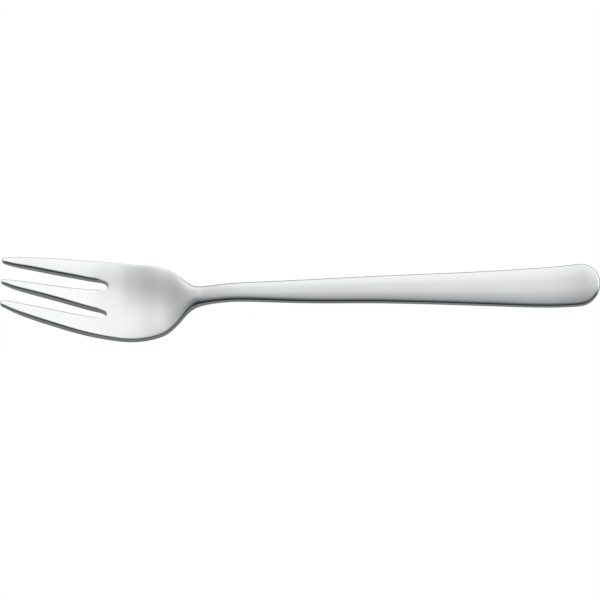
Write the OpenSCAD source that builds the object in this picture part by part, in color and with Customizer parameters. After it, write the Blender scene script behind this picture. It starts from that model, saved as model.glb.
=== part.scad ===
// Pastry fork, stamped and forged from one strip of stainless steel.
// The tines point along -X, the handle along +X, and the hollow side is up.
// The skin is one loft: rows of points run across the fork, from the tips to the
// handle's end, over its top and its underside, and a rounded wall closes the two
// along the whole outline, tips and slots included.

/* [Overall] */
// Length from the tips of the tines to the end of the handle
fork_length = 156; // [140:1:175]

/* [Head] */
// Length from the tips to the narrowest place of the neck
head_length = 54; // [50:0.5:60]
// Distance from the tips to the widest place of the head
widest_at = 30; // [26:0.5:34]
// Reach of the right side from the middle line at the widest place
right_reach = 11.4; // [10.5:0.1:12.5]
// Reach of the left side, where the tine is broader for cutting
left_reach = 11.55; // [10.5:0.05:12.5]
// Height of the head's rims over its middle, where the hollow is deepest
dish_rise = 1.15; // [0.6:0.05:1.6]
// Thickness of the steel in the head
head_thickness = 1.9; // [1.5:0.1:2.4]

/* [Tines] */
// Length of the tines, from the tips to the round ends of the slots
tine_length = 26.7; // [22:0.1:29]
// How much further the right slot reaches into the head than the left one
slot_stagger = 0.4; // [0:0.1:1.2]
// How much shorter the right tine is at its tip than the left one
tip_stagger = 0.4; // [0:0.1:1]
// Width of the right and the middle tine at their tips
tip_width = 1.25; // [1.1:0.05:1.6]
// Width of the broad left tine at its tip
broad_tip_width = 1.7; // [1.3:0.05:2]
// Distance from the middle line to the inner edges of the two outer tines
outer_tine_inner = 5.6; // [5.2:0.1:6]
// Width of a slot at its round end
slot_end_width = 2.7; // [2.1:0.1:2.9]
// Thickness of the steel at the tips
tip_thickness = 0.9; // [0.8:0.1:1.4]

/* [Handle] */
// Width of the neck at its narrowest
neck_width = 4.8; // [4.2:0.1:5.4]
// Width of the handle at its round end
handle_width = 12.4; // [10:0.1:14]
// Height of the neck's side walls
neck_wall = 2.1; // [1.8:0.1:2.5]
// Height by which the middle of the heel, before the neck, stands over its side walls
heel_crown = 1.15; // [0.8:0.05:1.5]
// Height by which the middle of the neck stands over its side walls
neck_crown = 0.5; // [0.3:0.05:0.8]
// Height of the handle's side walls
handle_wall = 1.5; // [1.4:0.1:2]
// Height by which the middle of the handle stands over its side walls
handle_crown = 0.75; // [0.4:0.05:0.9]

/* [Bend] */
// Height of the tips' underside over the table
tip_lift = 16; // [11:0.5:18]
// Distance from the tips to where the head rests on the table
head_rest_at = 38; // [36:0.5:40]
// Distance from the tips to the top of the arch behind the head
arch_at = 60; // [57:0.5:64]
// Height of the underside of that arch over the table
arch_lift = 4.4; // [3:0.1:6]
// Distance from the handle's end to where the handle rests on the table
handle_rest_from_end = 13; // [11:0.5:18]
// Height of the underside of the handle's end over the table
end_lift = 1.8; // [0.5:0.1:2.2]
// Length of each of the two flats on which the fork rests
rest_length = 3; // [2:0.5:4]
// Depth to which the head's rounded back is flattened there
rest_flat = 0.06; // [0.04:0.01:0.1]

/* [Edges] */
// Radius of the edges of the head and the tines
head_edge = 0.35; // [0.25:0.01:0.4]
// Radius of the edges of the neck
neck_edge = 0.5; // [0.4:0.01:0.65]
// Radius of the edges of the handle
handle_edge = 0.4; // [0.3:0.01:0.5]

/* [Hidden] */

// Cells across a tine, cells round a slot's end, and steps round an edge
tine_cells = 4;
slot_cells = 6;
edge_steps = 3;
// Rows along the tines and round the handle's end
tine_rows = 12;
end_rows = 4;
// How far round the tips and the handle's end the last row reaches, in degrees each way
tip_sweep = 60;
end_sweep = 60;
// Most of a wall's height that its two round edges may take
edge_share = 0.92;
// How flat the crown is in its middle and how steep at its sides: 2 would be an even arch
crown_power = 2.7;

// Shape of the sides, as shares of the way and of the change in reach
right_rise_shares = [[0, 0], [0.07, 0.09], [0.17, 0.24], [0.33, 0.43], [0.5, 0.645], [0.67, 0.8],
                     [0.83, 0.935]];
left_rise_shares = [[0, 0], [0.07, 0.115], [0.17, 0.3], [0.33, 0.51], [0.5, 0.685], [0.67, 0.85],
                    [0.83, 0.96]];
right_shoulder_shares = [[0, 1], [0.21, 0.98], [0.33, 0.945], [0.46, 0.85], [0.54, 0.745],
                         [0.625, 0.565], [0.71, 0.315], [0.79, 0.11], [0.875, 0.03]];
left_shoulder_shares = [[0, 1], [0.21, 0.975], [0.33, 0.935], [0.46, 0.84], [0.54, 0.71],
                        [0.625, 0.515], [0.71, 0.265], [0.79, 0.075], [0.875, 0.01]];
handle_side_shares = [[0, 0], [0.05, 0.01], [0.1, 0.045], [0.2, 0.15], [0.3, 0.25], [0.45, 0.355],
                      [0.6, 0.515], [0.75, 0.7], [0.9, 0.88], [1, 0.98]];
// Shape of the middle tine's sides, as shares of the tine's length and of the change in width
middle_tine_shares = [[0, 0], [0.14, 0.19], [0.36, 0.39], [0.57, 0.56], [0.79, 0.82], [0.95, 1],
                      [1, 1]];

// Shape of the bend: shares of the way and of the lift, from the tips to the head's
// rest, on to the top of the arch, down to the handle's rest and up to the end
tip_bend_shares = [[0, 1], [0.1, 0.845], [0.22, 0.695], [0.35, 0.54], [0.49, 0.373], [0.62, 0.234],
                   [0.77, 0.108], [0.87, 0.037], [0.95, 0.005], [1, 0]];
rise_bend_shares = [[0, 0], [0.04, 0.01], [0.12, 0.11], [0.25, 0.29], [0.37, 0.42], [0.5, 0.56],
                    [0.62, 0.73], [0.75, 0.87], [0.87, 0.95], [1, 1]];
fall_bend_shares = [[0.06, 0.965], [0.13, 0.88], [0.25, 0.765], [0.44, 0.655], [0.61, 0.46],
                    [0.8, 0.21], [0.93, 0.055], [1, 0]];
end_bend_shares = [[0, 0], [0.45, 0.3], [1, 1]];

// Where the hollow, the crown, the walls and the edges change, as shares of the head's
// length and then of the handle's length
dish_shares = [[0, 0.3], [0.15, 0.65], [0.3, 0.87], [0.45, 0.95], [0.6, 0.92], [0.67, 0.98], [0.74, 1],
               [0.8, 0.5], [0.86, 0.13], [0.91, 0]];
heel_crown_shares = [[0.6, 0], [0.67, 0.08], [0.74, 0.36], [0.81, 0.4], [0.85, 0.7], [0.89, 1],
                     [0.925, 0.97]];
neck_crown_shares = [[0.965, 0.75], [1.02, 0.95], [1.08, 1]];
handle_crown_shares = [[0.18, 0.3], [0.4, 0.5], [0.7, 1], [1, 1]];
tine_wall_shares = [[0, 0], [0.06, 0.45], [0.12, 0.8], [0.2, 1]];
neck_wall_shares = [[0.8, 1], [1, 0], [1.1, 0]];
handle_wall_shares = [[0.3, 0.25], [1, 0]];
edge_shares = [[0, 0], [0.75, 0], [1, 1], [1.1, 1]];
handle_edge_shares = [[0.3, 0.3], [1, 0]];

// Values that follow from the sizes above
tip_radius = tip_width / 2;
slot_radius = slot_end_width / 2;
neck_half = neck_width / 2;
handle_radius = handle_width / 2;
root_at = tine_length - slot_radius;
end_at = fork_length - handle_radius;
handle_rest_at = fork_length - handle_rest_from_end;
rest_half = rest_length / 2;
middle_tine_root = outer_tine_inner - slot_end_width;

// A smooth curve through a table of [place, value] pairs. It never overshoots them.
function slope_between(table, k) = (table[k + 1][1] - table[k][1]) / (table[k + 1][0] - table[k][0]);
function slope_at(table, k) =
    k == 0 ? slope_between(table, 0)
    : k == len(table) - 1 ? slope_between(table, k - 1)
    : let (before = slope_between(table, k - 1), after = slope_between(table, k))
      before * after <= 0 ? 0 : 2 * before * after / (before + after);
function smooth(table, place) =
    let (last = len(table) - 1,
         at = min(max(place, table[0][0]), table[last][0]),
         k = max([for (i = [0:last - 1]) if (table[i][0] <= at) i]),
         gap = table[k + 1][0] - table[k][0],
         t = (at - table[k][0]) / gap)
    table[k][1] * (1 + 2 * t) * pow(1 - t, 2) + table[k + 1][1] * (3 - 2 * t) * pow(t, 2)
    + gap * t * (1 - t) * (slope_at(table, k) * (1 - t) - slope_at(table, k + 1) * t);

// A table of shares laid between two places and two values
function laid(shares, from, to, low, high) =
    [for (p = shares) [from + p[0] * (to - from), low + p[1] * (high - low)]];

// Reach of each side from the middle line, from the tips to the handle's end
function side(tip, reach, rise_shares, shoulder_shares) = concat(
    laid(rise_shares, 0, widest_at, outer_tine_inner + tip, reach),
    laid(shoulder_shares, widest_at, head_length, neck_half, reach),
    laid(handle_side_shares, head_length, end_at, neck_half, handle_radius));
right_side = side(tip_width, right_reach, right_rise_shares, right_shoulder_shares);
left_side = side(broad_tip_width, left_reach, left_rise_shares, left_shoulder_shares);
middle_tine_side = laid(middle_tine_shares, 0, tine_length, tip_radius, middle_tine_root);

// Height of the underside over the table along the middle line, before the flats
underside = concat(
    laid(tip_bend_shares, 0, head_rest_at - rest_half, 0, tip_lift),
    laid(rise_bend_shares, head_rest_at + rest_half, arch_at, 0, arch_lift),
    laid(fall_bend_shares, arch_at, handle_rest_at - rest_half, 0, arch_lift),
    laid(end_bend_shares, handle_rest_at + rest_half, fork_length, 0, end_lift));

// Rise of the hollow, crown, side walls and edges along the fork
dish = laid(dish_shares, 0, head_length, 0, dish_rise);
crown = concat(
    laid(heel_crown_shares, 0, head_length, 0, heel_crown),
    laid(neck_crown_shares, 0, head_length, heel_crown, neck_crown),
    laid(handle_crown_shares, head_length, fork_length, neck_crown, handle_crown));
wall = concat(
    laid(tine_wall_shares, 0, head_length, tip_thickness, head_thickness),
    laid(neck_wall_shares, 0, head_length, neck_wall, head_thickness),
    laid(handle_wall_shares, head_length, fork_length, handle_wall, neck_wall));
edge = concat(
    laid(edge_shares, 0, head_length, head_edge, neck_edge),
    laid(handle_edge_shares, head_length, fork_length, handle_edge, neck_edge));

// Height of the underside and the top at any place of the fork
function reach_at(at, y) = smooth(y < 0 ? left_side : right_side, at);
// The hollow rises towards the rims of the head and levels out there
function hollow(outward) = 2 * pow(outward, 2) - pow(outward, 4);
function middle_at(at, y) =
    smooth(underside, at) - rest_flat + smooth(dish, at) * hollow(y / reach_at(at, y));
function bottom_at(at, y) = max(0, middle_at(at, y));
// Where the fork slopes, a wall of the same thickness stands higher
function slope(at) =
    (smooth(underside, at + head_edge) - smooth(underside, at - head_edge)) / (2 * head_edge);
function height_at(at) = smooth(wall, at) * norm([1, slope(at)]);
function top_at(at, y) =
    let (outward = min(1, norm([max(0, at - end_at), y]) / reach_at(at, y)))
    middle_at(at, y) + height_at(at) + smooth(crown, at) * (1 - pow(outward, crown_power));

// Rows of the tines. The top and the underside end one edge radius inside the outline.
function tine_ends(t, at) =
    let (inset = smooth(edge, at))
    t == 0 ? [inset - smooth(left_side, at), -outer_tine_inner - inset]
    : t == 1 ? [inset - smooth(middle_tine_side, at), smooth(middle_tine_side, at) - inset]
    : [outer_tine_inner + inset, smooth(right_side, at) - inset];
// The rows lean, as the right slot reaches further and the right tine is shorter
function root_of(t, c) = root_at + slot_stagger / 2 * (t == 0 ? -1 : t == 1 ? 2 * c / tine_cells - 1 : 1);
function tip_of(t) = tip_stagger * t / 2 + tip_radius;
function tine_points(t, way) =
    [for (c = [0:tine_cells])
        let (at = tip_of(t) + way * (root_of(t, c) - tip_of(t)), ends = tine_ends(t, at))
        [at, ends[0] + (ends[1] - ends[0]) * c / tine_cells]];
function tip_points(t) =
    let (ends = tine_ends(t, tip_of(t)),
         middle = (ends[0] + ends[1]) / 2,
         radius = (ends[1] - ends[0]) / 2)
    [for (c = [0:tine_cells])
        let (turn = tip_sweep * (2 * c / tine_cells - 1))
        [tip_of(t) - (tip_radius - head_edge) * cos(turn), middle + radius * sin(turn)]];
function slot_points(middle, root) =
    let (radius = slot_radius + smooth(edge, root))
    [for (c = [1:slot_cells - 1])
        let (turn = 180 * c / slot_cells)
        [root + radius * sin(turn), middle - radius * cos(turn)]];
slot_middle = outer_tine_inner - slot_radius;
root_row = concat(
    tine_points(0, 1), slot_points(-slot_middle, root_of(0)), tine_points(1, 1),
    slot_points(slot_middle, root_of(2)), tine_points(2, 1));

// Rows of the head and the handle keep the spread of points across the tines' roots
root_left = -root_row[0][1];
root_right = root_row[len(root_row) - 1][1];
root_shares = [for (p = root_row) p[1] / (p[1] < 0 ? root_left : root_right)];
function body_row(at) =
    let (inset = smooth(edge, at),
         left = smooth(left_side, at) - inset,
         right = smooth(right_side, at) - inset)
    [for (q = root_shares) [at, q * (q < 0 ? left : right)]];
end_inset = handle_radius - handle_edge;
function end_row(turn) =
    [for (q = root_shares) [end_at + end_inset * sin(turn), q * end_inset * cos(turn)]];
last_row_points =
    [for (p = end_row(end_sweep)) [end_at + sqrt(pow(end_inset, 2) - pow(p[1], 2)), p[1]]];
// Stretches of the head and the handle, each with its number of rows
stretches = [
    [root_at + slot_end_width, head_rest_at - rest_half, 5],
    [head_rest_at - rest_half, head_rest_at + rest_half, 2],
    [head_rest_at + rest_half, head_length, 10],
    [head_length, handle_rest_at - rest_half, 22],
    [handle_rest_at - rest_half, handle_rest_at + rest_half, 1],
    [handle_rest_at + rest_half, end_at, 2]];
rows = concat(
    [[for (t = [0:2]) each tip_points(t)]],
    [for (i = [0:tine_rows - 2])
        [for (t = [0:2]) each tine_points(t, i / (tine_rows - 1))]],
    [root_row],
    [body_row(stretches[0][0])],
    [for (s = stretches, i = [1:s[2]]) body_row(s[0] + (s[1] - s[0]) * i / s[2])],
    [for (i = [1:end_rows - 1]) end_row(end_sweep * i / end_rows)],
    [last_row_points]);

// Numbers of the points. A tine's row holds no points where the slots are.
tine_pitch = tine_cells + slot_cells;
columns = len(root_row);
last_row = len(rows) - 1;
tine_columns = 3 * (tine_cells + 1);
function column(i, j) = i < tine_rows ? j - floor(j / tine_pitch) * (slot_cells - 1) : j;
function place(i, j) = rows[i][column(i, j)];
function number(i, j) = column(i, j) + (i < tine_rows ? i * tine_columns
                                        : tine_rows * tine_columns + (i - tine_rows) * columns);
flat_points = [for (row = rows) each row];
top_points = [for (p = flat_points) [p[0], p[1], top_at(p[0], p[1])]];
bottom_points = [for (p = flat_points) [p[0], p[1], bottom_at(p[0], p[1])]];

// The rim runs once round the outline: right side, tips and slots, left side and end
function round_tip(t) = [for (c = [tine_cells - 1:-1:0]) [0, t * tine_pitch + c]];
function round_slot(t) = concat(
    [for (i = [1:tine_rows]) [i, t * tine_pitch]],
    [for (c = [1:slot_cells]) [tine_rows, t * tine_pitch - c]],
    [for (i = [tine_rows - 1:-1:0]) [i, t * tine_pitch - slot_cells]]);
rim = concat(
    [for (i = [last_row:-1:0]) [i, columns - 1]],
    round_tip(2), round_slot(2), round_tip(1), round_slot(1), round_tip(0),
    [for (i = [1:last_row]) [i, 0]],
    [for (j = [1:columns - 2]) [last_row, j]]);
rim_places = [for (p = rim) place(p[0], p[1])];

// Points down the wall at one place of the rim: the upper round edge, then the lower
function wall_points(k) =
    let (here = rim_places[k],
         along = rim_places[(k + 1) % len(rim)] - rim_places[(k + len(rim) - 1) % len(rim)],
         out = [along[1], -along[0]] / norm(along),
         reach = smooth(edge, here[0]),
         beyond = here + out * reach,
         top = top_at(here[0], here[1]),
         bottom = bottom_at(here[0], here[1]),
         top_tilt = atan((top - top_at(beyond[0], beyond[1])) / reach),
         bottom_tilt = atan((bottom_at(beyond[0], beyond[1]) - bottom) / reach),
         top_radius = reach / (1 - sin(top_tilt)),
         bottom_radius = reach / (1 - sin(bottom_tilt)),
         both = top_radius * cos(top_tilt) + bottom_radius * cos(bottom_tilt),
         fit = min(1, edge_share * (top - bottom) / both))
    concat(
        [for (q = [1:edge_steps])
            let (turn = top_tilt + (90 - top_tilt) * q / edge_steps,
                 spot = here + out * fit * top_radius * (sin(turn) - sin(top_tilt)))
            [spot[0], spot[1], top - fit * top_radius * (cos(top_tilt) - cos(turn))]],
        [for (q = [edge_steps:-1:1])
            let (turn = bottom_tilt + (90 - bottom_tilt) * q / edge_steps,
                 spot = here + out * fit * bottom_radius * (sin(turn) - sin(bottom_tilt)))
            [spot[0], spot[1], bottom + fit * bottom_radius * (cos(bottom_tilt) - cos(turn))]]);

rim_points = [for (k = [0:len(rim) - 1]) each wall_points(k)];

// Faces of the top, the underside and the wall
function two_faces(a, b, c, d) = [[a, b, c], [a, c, d]];
top_faces = [
    for (i = [0:last_row - 1], j = [0:columns - 2])
        if (i >= tine_rows || j % tine_pitch < tine_cells)
            each two_faces(number(i, j), number(i, j + 1), number(i + 1, j + 1), number(i + 1, j))];
flat_count = len(flat_points);
bottom_faces = [for (f = top_faces) [f[0] + flat_count, f[2] + flat_count, f[1] + flat_count]];
wall_steps = 2 * edge_steps;
function wall_number(k, level) =
    let (at = rim[k % len(rim)])
    level == 0 ? number(at[0], at[1])
    : level > wall_steps ? flat_count + number(at[0], at[1])
    : 2 * flat_count + (k % len(rim)) * wall_steps + level - 1;
wall_faces = [
    for (k = [0:len(rim) - 1], level = [0:wall_steps])
        each two_faces(wall_number(k, level), wall_number(k + 1, level),
                       wall_number(k + 1, level + 1), wall_number(k, level + 1))];

// The fork, with its middle at the origin and its rests on the table
module fork() {
    color([0.74, 0.75, 0.75])
        translate([-fork_length / 2, (left_reach - right_reach) / 2, 0])
            polyhedron(
                points = concat(top_points, bottom_points, rim_points),
                faces = concat(top_faces, bottom_faces, wall_faces),
                convexity = 6);
}

fork();
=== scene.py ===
from math import cos, hypot, radians, sin

import bmesh
import bpy
from mathutils import Matrix, Vector


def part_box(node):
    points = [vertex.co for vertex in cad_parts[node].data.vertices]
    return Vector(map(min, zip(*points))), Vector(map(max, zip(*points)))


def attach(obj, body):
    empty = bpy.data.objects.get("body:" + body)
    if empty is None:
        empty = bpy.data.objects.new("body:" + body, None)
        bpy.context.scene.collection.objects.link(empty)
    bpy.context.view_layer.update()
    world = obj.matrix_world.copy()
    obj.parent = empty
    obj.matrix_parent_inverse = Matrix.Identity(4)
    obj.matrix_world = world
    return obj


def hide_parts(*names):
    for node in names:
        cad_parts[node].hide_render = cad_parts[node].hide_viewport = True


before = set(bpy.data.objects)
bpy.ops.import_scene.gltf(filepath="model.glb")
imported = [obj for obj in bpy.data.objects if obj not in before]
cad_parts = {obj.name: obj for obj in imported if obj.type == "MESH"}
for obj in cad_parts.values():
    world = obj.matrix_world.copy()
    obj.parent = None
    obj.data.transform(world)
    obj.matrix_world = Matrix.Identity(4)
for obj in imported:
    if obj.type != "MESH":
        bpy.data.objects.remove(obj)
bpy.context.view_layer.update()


# Camera

# The fork lies with its tines to the left and its hollow side up. The camera stands far
# off on the side of the broad tine, well above the table, and is tilted a little.
MM = 0.001
view_middle = Vector((0, -1.175 * MM, 4 * MM))
view_distance = 0.9
view_elevation = radians(60.3)
view_roll = radians(2.5)
view_lens = 206.5
aim_left = 0.73 * MM
aim_down = 1.02 * MM
nearest_seen = 0.05

backward = Vector((0, -cos(view_elevation), sin(view_elevation)))
sideways = Vector((1, 0, 0))
upward = backward.cross(sideways)
view_right = sideways * cos(view_roll) - upward * sin(view_roll)
view_up = sideways * sin(view_roll) + upward * cos(view_roll)
aim = view_middle - view_right * aim_left - view_up * aim_down

bpy.ops.object.select_all(action="DESELECT")
bpy.ops.object.camera_add(location=aim + backward * view_distance)
camera = bpy.context.object
camera.rotation_euler = Matrix((view_right, view_up, backward)).transposed().to_euler()
camera.data.lens = view_lens
camera.data.clip_start = nearest_seen
bpy.context.scene.camera = camera


# Fork

# The fork is one strip of stainless steel. It is blanked to its outline, the slots are
# pierced, the edges are rounded, and a press hollows the head, crowns the handle and
# bends the whole, before it is ground to a satin finish along its length.

# The head, which reaches out from the fork's middle line to its two sides
head_length = 54 * MM
widest_at = 30 * MM
right_reach = 11.4 * MM
left_reach = 11.55 * MM
head_thickness = 1.7 * MM
dish_rise = 1.15 * MM

# The tines and the slots between them
tine_length = 26.7 * MM
slot_stagger = 0.4 * MM
slot_end_width = 2.4 * MM
outer_tine_inner = 5.45 * MM
inner_flare = 0.25 * MM
tip_stagger = 0.4 * MM
tip_width = 1.25 * MM
broad_tip_width = 1.7 * MM
tip_thickness = 0.9 * MM

# The heel, the neck and the handle
heel_crown = 1.15 * MM
neck_width = 5.3 * MM
neck_wall = 1.65 * MM
neck_crown = 0.5 * MM
handle_width = 12.55 * MM
handle_wall = 1.5 * MM
handle_crown = 0.75 * MM
end_depth = 5.25 * MM

# The bend, which touches the table with two short flats, under the head and the handle
tip_lift = 16 * MM
head_rest_at = 38 * MM
arch_at = 60 * MM
arch_lift = 4.6 * MM
handle_rest_at = 143 * MM
end_lift = 1.8 * MM
rest_half = 1.5 * MM
rest_flat = 0.06 * MM

# The widest rounding of an edge, and the room that the cells beside a rim keep for it, which
# on a narrow tine is a share of its width
neck_edge = 0.8 * MM
rim_room = 1 * MM
rim_room_share = 0.36

# The part's box gives the length and the place
low_corner, high_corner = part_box("fork")
tips_x = low_corner.x
fork_length = high_corner.x - tips_x
middle_y = high_corner.y - right_reach

tip_radius = tip_width / 2
slot_radius = slot_end_width / 2
slot_middle = outer_tine_inner - slot_radius
neck_half = neck_width / 2
handle_radius = handle_width / 2
root_at = tine_length - slot_radius
end_at = fork_length - end_depth
middle_tine_root = outer_tine_inner - slot_end_width

# Shape of the sides, of the bend and of the press, as shares of the way and of the change
right_rise = [(0, 0.06), (0.07, 0.155), (0.17, 0.3), (0.33, 0.485), (0.5, 0.69), (0.67, 0.83),
              (0.83, 0.945)]
left_rise = [(0, 0.065), (0.07, 0.195), (0.17, 0.38), (0.33, 0.595), (0.5, 0.765), (0.67, 0.895),
             (0.83, 0.965)]
right_shoulder = [(0, 1), (0.21, 0.98), (0.33, 0.945), (0.46, 0.85), (0.54, 0.76),
                  (0.625, 0.59), (0.71, 0.34), (0.79, 0.125), (0.875, 0.03)]
left_shoulder = [(0, 1), (0.21, 0.975), (0.33, 0.935), (0.46, 0.84), (0.54, 0.71),
                 (0.625, 0.515), (0.71, 0.265), (0.79, 0.075), (0.875, 0.01)]
handle_side = [(0, 0), (0.05, 0.01), (0.1, 0.047), (0.2, 0.158), (0.3, 0.262), (0.45, 0.372),
               (0.6, 0.515), (0.75, 0.695), (0.9, 0.9), (1, 1)]
middle_tine = [(0, 0.035), (0.14, 0.235), (0.36, 0.42), (0.57, 0.59), (0.79, 0.84), (0.95, 1),
               (1, 1)]
flaring = [(0, 1), (0.45, 1), (0.7, 0.3), (1, 0)]
tip_bend = [(0, 1), (0.1, 0.845), (0.22, 0.695), (0.35, 0.54), (0.49, 0.373), (0.62, 0.234),
            (0.77, 0.108), (0.87, 0.037), (0.95, 0.005), (1, 0)]
rise_bend = [(0, 0), (0.08, 0.025), (0.16, 0.1), (0.25, 0.22), (0.37, 0.38), (0.5, 0.545),
             (0.62, 0.72), (0.75, 0.87), (0.87, 0.95), (1, 1)]
fall_bend = [(0.06, 0.955), (0.13, 0.86), (0.25, 0.735), (0.44, 0.62), (0.61, 0.43),
             (0.8, 0.19), (0.93, 0.05), (1, 0)]
end_bend = [(0, 0), (0.45, 0.2), (0.7, 0.5), (1, 1)]
dishing = [(0, 0.3), (0.15, 0.65), (0.3, 0.87), (0.45, 0.95), (0.6, 0.92), (0.67, 0.98),
           (0.74, 1), (0.8, 0.5), (0.86, 0.13), (0.91, 0)]
heel_crowning = [(0.6, 0), (0.67, 0.08), (0.74, 0.36), (0.81, 0.4), (0.85, 0.7), (0.89, 1),
                 (0.925, 0.97)]
neck_crowning = [(0.965, 0.75), (1.02, 0.95), (1.08, 1)]
handle_crowning = [(0.18, 0.3), (0.4, 0.5), (0.7, 1), (0.88, 1.15), (1, 1.5)]
tine_thickening = [(0, 0), (0.06, 0.5), (0.12, 0.85), (0.2, 1), (0.46, 1)]
neck_thinning = [(0.85, 1), (0.96, 0.45), (1.06, 0), (1.1, 0)]
handle_thinning = [(0.3, 0.25), (1, 0)]

# Rounding of the top edges as shares of the widest, and of the lower edges as shares of the
# top ones, over the way from the tips to the head's end and, past 1, on along the handle
edge_rounding = [(0, 0.38), (0.03, 0.45), (0.12, 1), (0.34, 1), (0.48, 0.4), (0.7, 0.42),
                 (0.8, 0.65), (0.98, 1), (1.3, 0.9), (1.9, 0.8), (2.6, 0.8), (2.85, 0.7)]
under_rounding = [(0, 0.55), (0.12, 0.4), (0.34, 0.4), (0.48, 0.5), (0.8, 0.55), (0.95, 1)]


def laid(shares, start, end, low, high):
    """The shares laid along the fork from start to end, as values from low to high."""
    return [(start + p * (end - start), low + q * (high - low)) for p, q in shares]


def smooth(table, place):
    """Value at a place on a smooth curve through the table, which it never overshoots.

    Each slope is the harmonic mean of the two beside it, and the curve is level where it turns.
    """
    gaps = [(b[1] - a[1]) / (b[0] - a[0]) for a, b in zip(table, table[1:])]
    slopes = [2 * a * b / (a + b) if a * b > 0 else 0 for a, b in zip(gaps, gaps[1:])]
    slopes = [gaps[0]] + slopes + [gaps[-1]]
    place = min(max(place, table[0][0]), table[-1][0])
    k = max(i for i in range(len(gaps)) if table[i][0] <= place)
    gap = table[k + 1][0] - table[k][0]
    t = (place - table[k][0]) / gap
    return (table[k][1] * (1 + 2 * t) * (1 - t) ** 2 + table[k + 1][1] * (3 - 2 * t) * t ** 2
            + gap * t * (1 - t) * (slopes[k] * (1 - t) - slopes[k + 1] * t))


def side(tip, reach, rise, shoulder):
    """How far one side of the fork reaches from its middle line, from the tips to the end."""
    return (laid(rise, 0, widest_at, outer_tine_inner + tip, reach)
            + laid(shoulder, widest_at, head_length, neck_half, reach)
            + laid(handle_side, head_length, end_at, neck_half, handle_radius))


right_side = side(tip_width, right_reach, right_rise, right_shoulder)
left_side = side(broad_tip_width, left_reach, left_rise, left_shoulder)
middle_side = laid(middle_tine, 0, tine_length, tip_radius, middle_tine_root)
bend = (laid(tip_bend, 0, head_rest_at - rest_half, 0, tip_lift)
        + laid(rise_bend, head_rest_at + rest_half, arch_at, 0, arch_lift)
        + laid(fall_bend, arch_at, handle_rest_at - rest_half, 0, arch_lift)
        + laid(end_bend, handle_rest_at + rest_half, fork_length, 0, end_lift))
dish = laid(dishing, 0, head_length, 0, dish_rise)
crown = (laid(heel_crowning, 0, head_length, 0, heel_crown)
         + laid(neck_crowning, 0, head_length, heel_crown, neck_crown)
         + laid(handle_crowning, head_length, fork_length, neck_crown, handle_crown))
wall = (laid(tine_thickening, 0, head_length, tip_thickness, head_thickness)
        + laid(neck_thinning, 0, head_length, neck_wall, head_thickness)
        + laid(handle_thinning, head_length, fork_length, handle_wall, neck_wall))
edge = laid(edge_rounding, 0, head_length, 0, neck_edge)
under_edge_share = laid(under_rounding, 0, head_length, 0, 1)
flare = laid(flaring, 0, tine_length, 0, inner_flare)


def spread(start, end, cells):
    """Evenly spaced places from start to end."""
    return [start + (end - start) * i / cells for i in range(cells + 1)]


def round_end(middle, cells):
    """Columns across a slot's round end, without the two at its sides."""
    return [middle - slot_radius * cos(radians(180 * i / cells)) for i in range(1, cells)]


# Rows across the blank: along the tines, then the head and the handle, then the round end,
# where the last row lies on the rim and spans what is left of the half turn
tine_rows = 14
tine_cells = 4
slot_cells = 6
end_turns = [15, 30, 42, 52, 60]
last_row_sweep = 90 - end_turns[-1]
stations = spread(tip_radius, root_at, tine_rows) + [root_at + slot_end_width]
for start, end, count in [
        (root_at + slot_end_width, head_rest_at - rest_half, 5),
        (head_rest_at - rest_half, head_rest_at + rest_half, 2),
        (head_rest_at + rest_half, head_length, 12),
        (head_length, handle_rest_at - rest_half, 30),
        (handle_rest_at - rest_half, handle_rest_at + rest_half, 1),
        (handle_rest_at + rest_half, end_at, 2)]:
    stations += spread(start, end, count)[1:]
body_end = len(stations) - 1
stations += [end_at + end_depth * sin(radians(t)) for t in end_turns]

# The right slot reaches further into the head, and the right tine is shorter at its tip
roots = [root_at - slot_stagger / 2, root_at + slot_stagger / 2]
tips = [tip_radius + tip_stagger * t / 2 for t in range(3)]
tine_roots = [(roots[0], roots[0]), (roots[0], roots[1]), (roots[1], roots[1])]

# Columns along the blank, placed as they run between the slots at the tines' roots
root_left = smooth(left_side, roots[0])
root_right = smooth(right_side, roots[1])
columns = (spread(-root_left, -outer_tine_inner, tine_cells)
           + round_end(-slot_middle, slot_cells)
           + spread(-middle_tine_root, middle_tine_root, tine_cells)
           + round_end(slot_middle, slot_cells)
           + spread(outer_tine_inner, root_right, tine_cells))
tine_pitch = tine_cells + slot_cells

# A plain grid, 1 wide each way about the origin, so that a point's place gives its row and
# its column
last_station = len(stations) - 1
last_column = len(columns) - 1
bpy.ops.object.select_all(action="DESELECT")
bpy.ops.mesh.primitive_grid_add(
    x_subdivisions=last_station, y_subdivisions=last_column, size=1, enter_editmode=True)
fork = bpy.context.object
fork.name = "satin_steel_fork"
strip = bmesh.from_edit_mesh(fork.data)
grid = {}
for point in strip.verts:
    i = round((point.co.x + 0.5) * last_station)
    j = round((point.co.y + 0.5) * last_column)
    grid[i, j] = point


def pick(points):
    """Selects only these points of the piece in edit mode."""
    bpy.ops.mesh.select_all(action="DESELECT")
    for point in points:
        point.select = True


def slide(points, by):
    pick(points)
    bpy.ops.transform.translate(value=by)


def place_at(point, x, y):
    slide([point], (x - point.co.x, y - point.co.y, 0))


def stretch(points, along, across, about):
    pick(points)
    bpy.ops.transform.resize(value=(along, across, 1), center_override=about)


def tine_row(row, tine):
    """The points of one row that lie on one tine, from its left side to its right side."""
    return [grid[row, tine * tine_pitch + c] for c in range(tine_cells + 1)]


# The rows and the columns go to their places
for i, at in enumerate(stations):
    row = [grid[i, j] for j in range(len(columns))]
    slide(row, (at - row[0].co.x, 0, 0))
for j, across in enumerate(columns):
    column = [grid[i, j] for i in range(len(stations))]
    slide(column, (0, across - column[0].co.y, 0))

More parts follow.
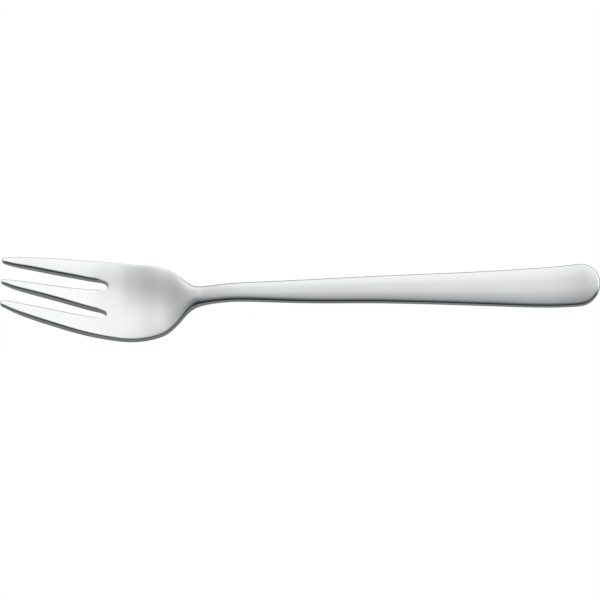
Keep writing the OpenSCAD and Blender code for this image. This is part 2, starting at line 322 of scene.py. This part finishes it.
# Each row is drawn in to the outline, the left half and the right half by themselves. The
# inner points draw in more where the rim's edge would have too little room beside it.
for i, at in enumerate(stations):
    share = cos(radians(end_turns[i - body_end - 1])) if i > body_end else 1
    left = [grid[i, j] for j in range(len(columns)) if columns[j] < 0]
    right = [grid[i, j] for j in range(len(columns)) if columns[j] > 0]
    stretch(left, 1, smooth(left_side, at) * share / root_left, (0, 0, 0))
    stretch(right, 1, smooth(right_side, at) * share / root_right, (0, 0, 0))
    for rim, *inner in (left, right[::-1]):
        reach, inner_reach = abs(rim.co.y), abs(inner[0].co.y)
        if i > tine_rows and reach - inner_reach < rim_room:
            stretch(inner, 1, (reach - rim_room) / inner_reach, (0, 0, 0))

# The tines get their own lengths, and narrow towards their tips between the slots
for t in range(3):
    for c in range(tine_cells + 1):
        column = [grid[i, t * tine_pitch + c] for i in range(tine_rows + 1)]
        near_root, far_root = tine_roots[t]
        root = near_root + (far_root - near_root) * c / tine_cells
        stretch(column, (root - tips[t]) / (root_at - tip_radius), 1, (tip_radius, 0, 0))
        slide(column, (tips[t] - tip_radius, 0, 0))
    for i in range(tine_rows + 1):
        tine = tine_row(i, t)
        first, last = tine[0].co, tine[-1].co
        near = [-smooth(left_side, first.x), -smooth(middle_side, first.x),
                outer_tine_inner - smooth(flare, first.x)][t]
        far = [-outer_tine_inner, smooth(middle_side, last.x), smooth(right_side, last.x)][t]
        stretch(tine, 1, (far - near) / (last.y - first.y), tuple(first))
        slide(tine, (0, near - first.y, 0))
        room = min(rim_room, rim_room_share * (far - near))
        place_at(tine[1], tine[1].co.x, near + room)
        place_at(tine[-2], tine[-2].co.x, far - room)

# The tips and the slots' ends are rounded
tip_sweep = 60
for t in range(3):
    tip = tine_row(0, t)
    middle = (tip[0].co.y + tip[-1].co.y) / 2
    half = (tip[-1].co.y - tip[0].co.y) / 2
    for c, point in enumerate(tip):
        turn = radians(tip_sweep * (2 * c / tine_cells - 1))
        place_at(point, tips[t] - tip_radius * cos(turn), middle + half * sin(turn))
for t in range(2):
    for c in range(1, slot_cells):
        point = grid[tine_rows, t * tine_pitch + tine_cells + c]
        depth = slot_radius * sin(radians(180 * c / slot_cells))
        place_at(point, roots[t] + depth, point.co.y)

# The handle's end is half an ellipse. A smaller one inside it leaves room for the rounded
# edge: the inner points of the rows end on it, and those of the last row but one follow it.
for k, turn in enumerate(end_turns[:-2]):
    row = [grid[body_end + 1 + k, j] for j in range(1, last_column)]
    slide(row, (end_at + (end_depth - rim_room) * sin(radians(turn)) - row[0].co.x, 0, 0))
    stretch(row, 1, (handle_radius - rim_room) * cos(radians(turn)) / row[-1].co.y, (0, 0, 0))
for j in range(last_column + 1):
    turn = radians(last_row_sweep * (2 * j / last_column - 1))
    for i, inset in ((last_station - 1, rim_room), (last_station, 0)):
        if inset == 0 or 0 < j < last_column:
            place_at(grid[i, j], end_at + (end_depth - inset) * cos(turn),
                     (handle_radius - inset) * sin(turn))

# The slots are pierced, and the blank gets its thickness
slot_columns = [range(t * tine_pitch + tine_cells, (t + 1) * tine_pitch) for t in range(2)]
pierced = {grid[i, j] for i in range(tine_rows) for cells in slot_columns for j in cells[1:]}
bpy.ops.mesh.select_all(action="DESELECT")
for face in strip.faces:
    if pierced & set(face.verts):
        face.select = True
bpy.ops.mesh.delete(type="FACE")
bpy.ops.mesh.select_all(action="SELECT")
bpy.ops.mesh.extrude_region_move(TRANSFORM_OT_translate={"value": (0, 0, head_thickness)})


def slope(at):
    """How steeply the bend rises there, taken over a millimetre to each side."""
    return (smooth(bend, at + MM) - smooth(bend, at - MM)) / (2 * MM)


def wall_height(at):
    """Height of the upright wall, which keeps the steel's thickness where the bend is steep."""
    return smooth(wall, at) * hypot(1, slope(at))


strip = bmesh.from_edit_mesh(fork.data)
for point in strip.verts:
    if point.co.z > head_thickness / 2:
        point.co.z = wall_height(point.co.x)
bpy.ops.mesh.select_all(action="SELECT")
bpy.ops.mesh.normals_make_consistent(inside=False)

# The edges of both faces are rounded all the way round: they are the sharp ones that run
# level. The rounding is widest on the top edges of the tines and of the neck.
sharp_turn = radians(70)
level_within = 0.5 * MM
strip = bmesh.from_edit_mesh(fork.data)
weights = strip.edges.layers.float.new("bevel_weight_edge")
for line in strip.edges:
    start, end = line.verts[0].co, line.verts[1].co
    if line.calc_face_angle(0) > sharp_turn and abs(start.z - end.z) < level_within:
        middle = (start.x + end.x) / 2
        share = 1 if start.z > head_thickness / 2 else smooth(under_edge_share, middle)
        line[weights] = share * smooth(edge, middle) / neck_edge
bmesh.update_edit_mesh(fork.data)
bpy.ops.object.mode_set(mode="OBJECT")
rounding = fork.modifiers.new("rounded_edges", "BEVEL")
rounding.limit_method = "WEIGHT"
rounding.width = neck_edge
rounding.segments = 3
rounding.use_clamp_overlap = False
bpy.ops.object.modifier_apply(modifier="rounded_edges")

# The two faces of the blank are satin, and the points between them, on the walls and on the
# rounded edges, are marked as polished
face_share = 0.03
finish = fork.data.attributes.new("polished", "FLOAT", "POINT")
for k, point in enumerate(fork.data.vertices):
    share = point.co.z / wall_height(point.co.x)
    finish.data[k].value = 1 if face_share < share < 1 - face_share else 0

# The press crowns the top, hollows the head and bends the whole. The hollow is level in its
# middle and at its rims, and the walls tilt by its slope, so that they stay square to it. The
# bend takes both rests a little below the table, and whatever is below it is pressed flat.
crown_power = 2.7
for point in fork.data.vertices:
    at, y, z = point.co
    reach = smooth(left_side if y < 0 else right_side, at)
    outward = min(1, hypot(max(0, at - end_at) * handle_radius / end_depth, y) / reach)
    tilt = smooth(dish, at) * 4 * (outward - outward ** 3) / reach
    y += (wall_height(at) - z) * (tilt if y > 0 else -tilt)
    z *= 1 + smooth(crown, at) * (1 - outward ** crown_power) / wall_height(at)
    z += smooth(bend, at) - rest_flat + smooth(dish, at) * (2 * outward ** 2 - outward ** 4)
    point.co = (tips_x + at, middle_y + y, max(0, z))

smooth_levels = 2
blending = fork.modifiers.new("smooth_steel", "SUBSURF")
blending.levels = smooth_levels
blending.render_levels = smooth_levels
bpy.ops.object.modifier_apply(modifier="smooth_steel")
bpy.ops.object.shade_smooth()

steel_tone = (0.745, 0.762, 0.765, 1)
bright_steel_tone = (0.785, 0.79, 0.787, 1)
satin_roughness = 0.14
scratch_roughness = 0.08
smudge_roughness = 0.05
edge_roughness = 0.08
scratches_per_metre = 4200
scratch_stretch = 0.025
smudges_per_metre = 90
scratch_depth = 0.01 * MM

steel = bpy.data.materials.new("satin_stainless_steel")
steel.use_nodes = True
nodes, links = steel.node_tree.nodes, steel.node_tree.links
metal = nodes["Principled BSDF"]
metal.inputs["Metallic"].default_value = 1
place = nodes.new("ShaderNodeTexCoord")

# Fine scratches of the grinding belt, which run along the fork
belt = nodes.new("ShaderNodeMapping")
belt.inputs["Scale"].default_value = (scratch_stretch, 1, 1)
links.new(place.outputs["Object"], belt.inputs["Vector"])
scratches = nodes.new("ShaderNodeTexNoise")
scratches.inputs["Scale"].default_value = scratches_per_metre
scratches.inputs["Detail"].default_value = 4
scratches.inputs["Roughness"].default_value = 0.65
links.new(belt.outputs["Vector"], scratches.inputs["Vector"])

# Smudges, broad and faint, as handling leaves them
smudges = nodes.new("ShaderNodeTexNoise")
smudges.inputs["Scale"].default_value = smudges_per_metre
smudges.inputs["Detail"].default_value = 3
links.new(place.outputs["Object"], smudges.inputs["Vector"])


def weighed(value, weight, added):
    """The value times its weight, plus another value or a number."""
    sum_of_both = nodes.new("ShaderNodeMath")
    sum_of_both.operation = "MULTIPLY_ADD"
    sum_of_both.inputs[1].default_value = weight
    links.new(value, sum_of_both.inputs[0])
    if isinstance(added, bpy.types.NodeSocket):
        links.new(added, sum_of_both.inputs[2])
    else:
        sum_of_both.inputs[2].default_value = added
    return sum_of_both.outputs[0]


# The faces are satin, with a little more or less gloss from place to place
satin = weighed(scratches.outputs["Fac"], scratch_roughness, satin_roughness)
worn = weighed(smudges.outputs["Fac"], smudge_roughness, satin)

# The tumbler leaves the edges and the walls smoother than the ground faces
tumbled = nodes.new("ShaderNodeAttribute")
tumbled.attribute_name = "polished"
gloss = nodes.new("ShaderNodeMix")
gloss.inputs["B"].default_value = edge_roughness
links.new(tumbled.outputs["Fac"], gloss.inputs["Factor"])
links.new(worn, gloss.inputs["A"])
links.new(gloss.outputs["Result"], metal.inputs["Roughness"])

# The tone of the steel goes with the smudges
tone = nodes.new("ShaderNodeMix")
tone.data_type = "RGBA"
tone.inputs["A"].default_value = steel_tone
tone.inputs["B"].default_value = bright_steel_tone
links.new(smudges.outputs["Fac"], tone.inputs["Factor"])
links.new(tone.outputs["Result"], metal.inputs["Base Color"])

# The scratches are cut very lightly
relief = nodes.new("ShaderNodeBump")
relief.inputs["Strength"].default_value = 0.25
relief.inputs["Distance"].default_value = scratch_depth
links.new(scratches.outputs["Fac"], relief.inputs["Height"])
links.new(relief.outputs["Normal"], metal.inputs["Normal"])
fork.data.materials.append(steel)

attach(fork, "root")
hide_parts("fork")


# Floor and light

# The fork lies on paper in a studio, which the camera sees as white, while the paper's own dark
# grey colour is painted shade for the steel to mirror. A broad soft light comes from the far
# side and a little from the right, and the room is dark behind the camera.
paper_size = 40
# The paper's own colour is a dark grey painted shade, which the steel's walls mirror
painted_shade_paper_colour = (0.25, 0.25, 0.25, 1)
paper_white = 1.16
white_share_seen = 0.85
white_share_mirrored = 0.14
bpy.ops.object.select_all(action="DESELECT")
bpy.ops.mesh.primitive_plane_add(size=paper_size)
floor = bpy.context.object
floor.name = "paper_floor"

paper = bpy.data.materials.new("paper_white_seen_with_painted_shade")
paper.use_nodes = True
nodes, links = paper.node_tree.nodes, paper.node_tree.links
matte = nodes["Principled BSDF"]
matte.inputs["Base Color"].default_value = painted_shade_paper_colour
matte.inputs["Roughness"].default_value = 0.9
matte.inputs["Specular IOR Level"].default_value = 0

# The camera sees the paper as white with a faint shadow. The steel mirrors it much darker: the
# paper's dark grey colour is painted shade, standing in for the shade beside the fork that the
# steel's walls mirror.
plain_white = nodes.new("ShaderNodeEmission")
plain_white.inputs["Strength"].default_value = paper_white
rays = nodes.new("ShaderNodeLightPath")
seen = nodes.new("ShaderNodeMath")
seen.operation = "MAXIMUM"
links.new(rays.outputs["Is Camera Ray"], seen.inputs[0])
links.new(rays.outputs["Is Transmission Ray"], seen.inputs[1])
seen_share = weighed(seen.outputs[0], white_share_seen, 0)
white_share = weighed(rays.outputs["Is Glossy Ray"], white_share_mirrored, seen_share)
blend = nodes.new("ShaderNodeMixShader")
links.new(white_share, blend.inputs["Fac"])
links.new(matte.outputs["BSDF"], blend.inputs[1])
links.new(plain_white.outputs["Emission"], blend.inputs[2])
links.new(blend.outputs["Shader"], nodes["Material Output"].inputs["Surface"])
floor.data.materials.append(paper)

# The room: tones along the way from behind the camera to the far side, which is brightest,
# and the same for the right side, where a large softbox stands in front of a dark wall
bright_side = Vector((0.066, 0.987, -0.147)).normalized()
room_level = 1.3
room_tones = [(0, (0.013, 0.016, 0.017)), (0.075, (0.06, 0.073, 0.077)),
              (0.15, (0.12, 0.14, 0.145)), (0.25, (0.18, 0.195, 0.2)),
              (0.35, (0.25, 0.265, 0.27)), (0.45, (0.355, 0.365, 0.365)),
              (0.525, (0.465, 0.475, 0.475)), (0.6, (0.56, 0.565, 0.565)),
              (0.675, (0.675, 0.68, 0.675)), (0.75, (0.79, 0.795, 0.79)),
              (0.85, (0.87, 0.87, 0.87)), (1, (0.9, 0.9, 0.9))]
softbox_tones = [(0, (0.01, 0.012, 0.013)), (0.4, (0.05, 0.06, 0.063)),
                 (0.475, (0.2, 0.21, 0.215)), (0.55, (0.62, 0.63, 0.63)),
                 (0.625, (0.97, 0.975, 0.97)), (0.72, (1, 1, 1)),
                 (0.85, (0.93, 0.93, 0.93)), (1, (0.85, 0.85, 0.85))]

# Along the fork, from -1 on the left to 1 on the right, the room first grows lighter from
# its dim side, and then the softbox comes in
dim_side_at = -1
lit_side_at = 0.25
dim_side_level = 0.55
lit_side_level = 1.05
softbox_from = 0.31
softbox_full = 0.69

room = bpy.data.worlds.new("studio_room")
bpy.context.scene.world = room
room.use_nodes = True
nodes, links = room.node_tree.nodes, room.node_tree.links
lit = nodes["Background"]
lit.inputs["Strength"].default_value = room_level
direction = nodes.new("ShaderNodeTexCoord")
facing = nodes.new("ShaderNodeVectorMath")
facing.operation = "DOT_PRODUCT"
facing.inputs[1].default_value = bright_side
links.new(direction.outputs["Generated"], facing.inputs[0])
way = weighed(facing.outputs["Value"], 0.5, 0.5)
sides = nodes.new("ShaderNodeSeparateXYZ")
links.new(direction.outputs["Generated"], sides.inputs[0])


def ramp(table):
    """The tones, laid along the way from behind the camera to the bright side."""
    tones = nodes.new("ShaderNodeValToRGB")
    tones.color_ramp.interpolation = "LINEAR"
    while len(tones.color_ramp.elements) < len(table):
        tones.color_ramp.elements.new(0.5)
    for stop, (where, colour) in zip(tones.color_ramp.elements, table):
        stop.position = where
        stop.color = (*colour, 1)
    links.new(way, tones.inputs["Fac"])
    return tones.outputs["Color"]


def sideways_change(start, end, low, high):
    """A value that goes smoothly from low to high as the direction turns rightwards."""
    change = nodes.new("ShaderNodeMapRange")
    change.interpolation_type = "SMOOTHSTEP"
    change.inputs["From Min"].default_value = start
    change.inputs["From Max"].default_value = end
    change.inputs["To Min"].default_value = low
    change.inputs["To Max"].default_value = high
    links.new(sides.outputs["X"], change.inputs["Value"])
    return change.outputs["Result"]


dimmed_tones = nodes.new("ShaderNodeVectorMath")
dimmed_tones.operation = "SCALE"
side_level = sideways_change(dim_side_at, lit_side_at, dim_side_level, lit_side_level)
links.new(ramp(room_tones), dimmed_tones.inputs[0])
links.new(side_level, dimmed_tones.inputs["Scale"])
walls = nodes.new("ShaderNodeMix")
walls.data_type = "RGBA"
links.new(sideways_change(softbox_from, softbox_full, 0, 1), walls.inputs["Factor"])
links.new(dimmed_tones.outputs["Vector"], walls.inputs["A"])
links.new(ramp(softbox_tones), walls.inputs["B"])
links.new(walls.outputs["Result"], lit.inputs["Color"])

# The camera itself sees plain white where there is no floor
white = nodes.new("ShaderNodeBackground")
rays = nodes.new("ShaderNodeLightPath")
choice = nodes.new("ShaderNodeMixShader")
links.new(rays.outputs["Is Camera Ray"], choice.inputs["Fac"])
links.new(lit.outputs["Background"], choice.inputs[1])
links.new(white.outputs["Background"], choice.inputs[2])
links.new(choice.outputs["Shader"], nodes["World Output"].inputs["Surface"])

# The softbox on the far side lights the paper. The steel mirrors only the room and the paper.
key_place = (0.35, 1.1, 0.95)
key_width = 1.4
key_height = 0.9
key_watts = 2
bpy.ops.object.light_add(type="AREA", location=key_place)
key = bpy.context.object
key.name = "far_softbox"
key.data.shape = "RECTANGLE"
key.data.size = key_width
key.data.size_y = key_height
key.data.energy = key_watts
key.rotation_euler = key.location.to_track_quat("Z", "Y").to_euler()
key.visible_camera = False
key.visible_glossy = False

bpy.context.scene.view_settings.view_transform = "Standard"
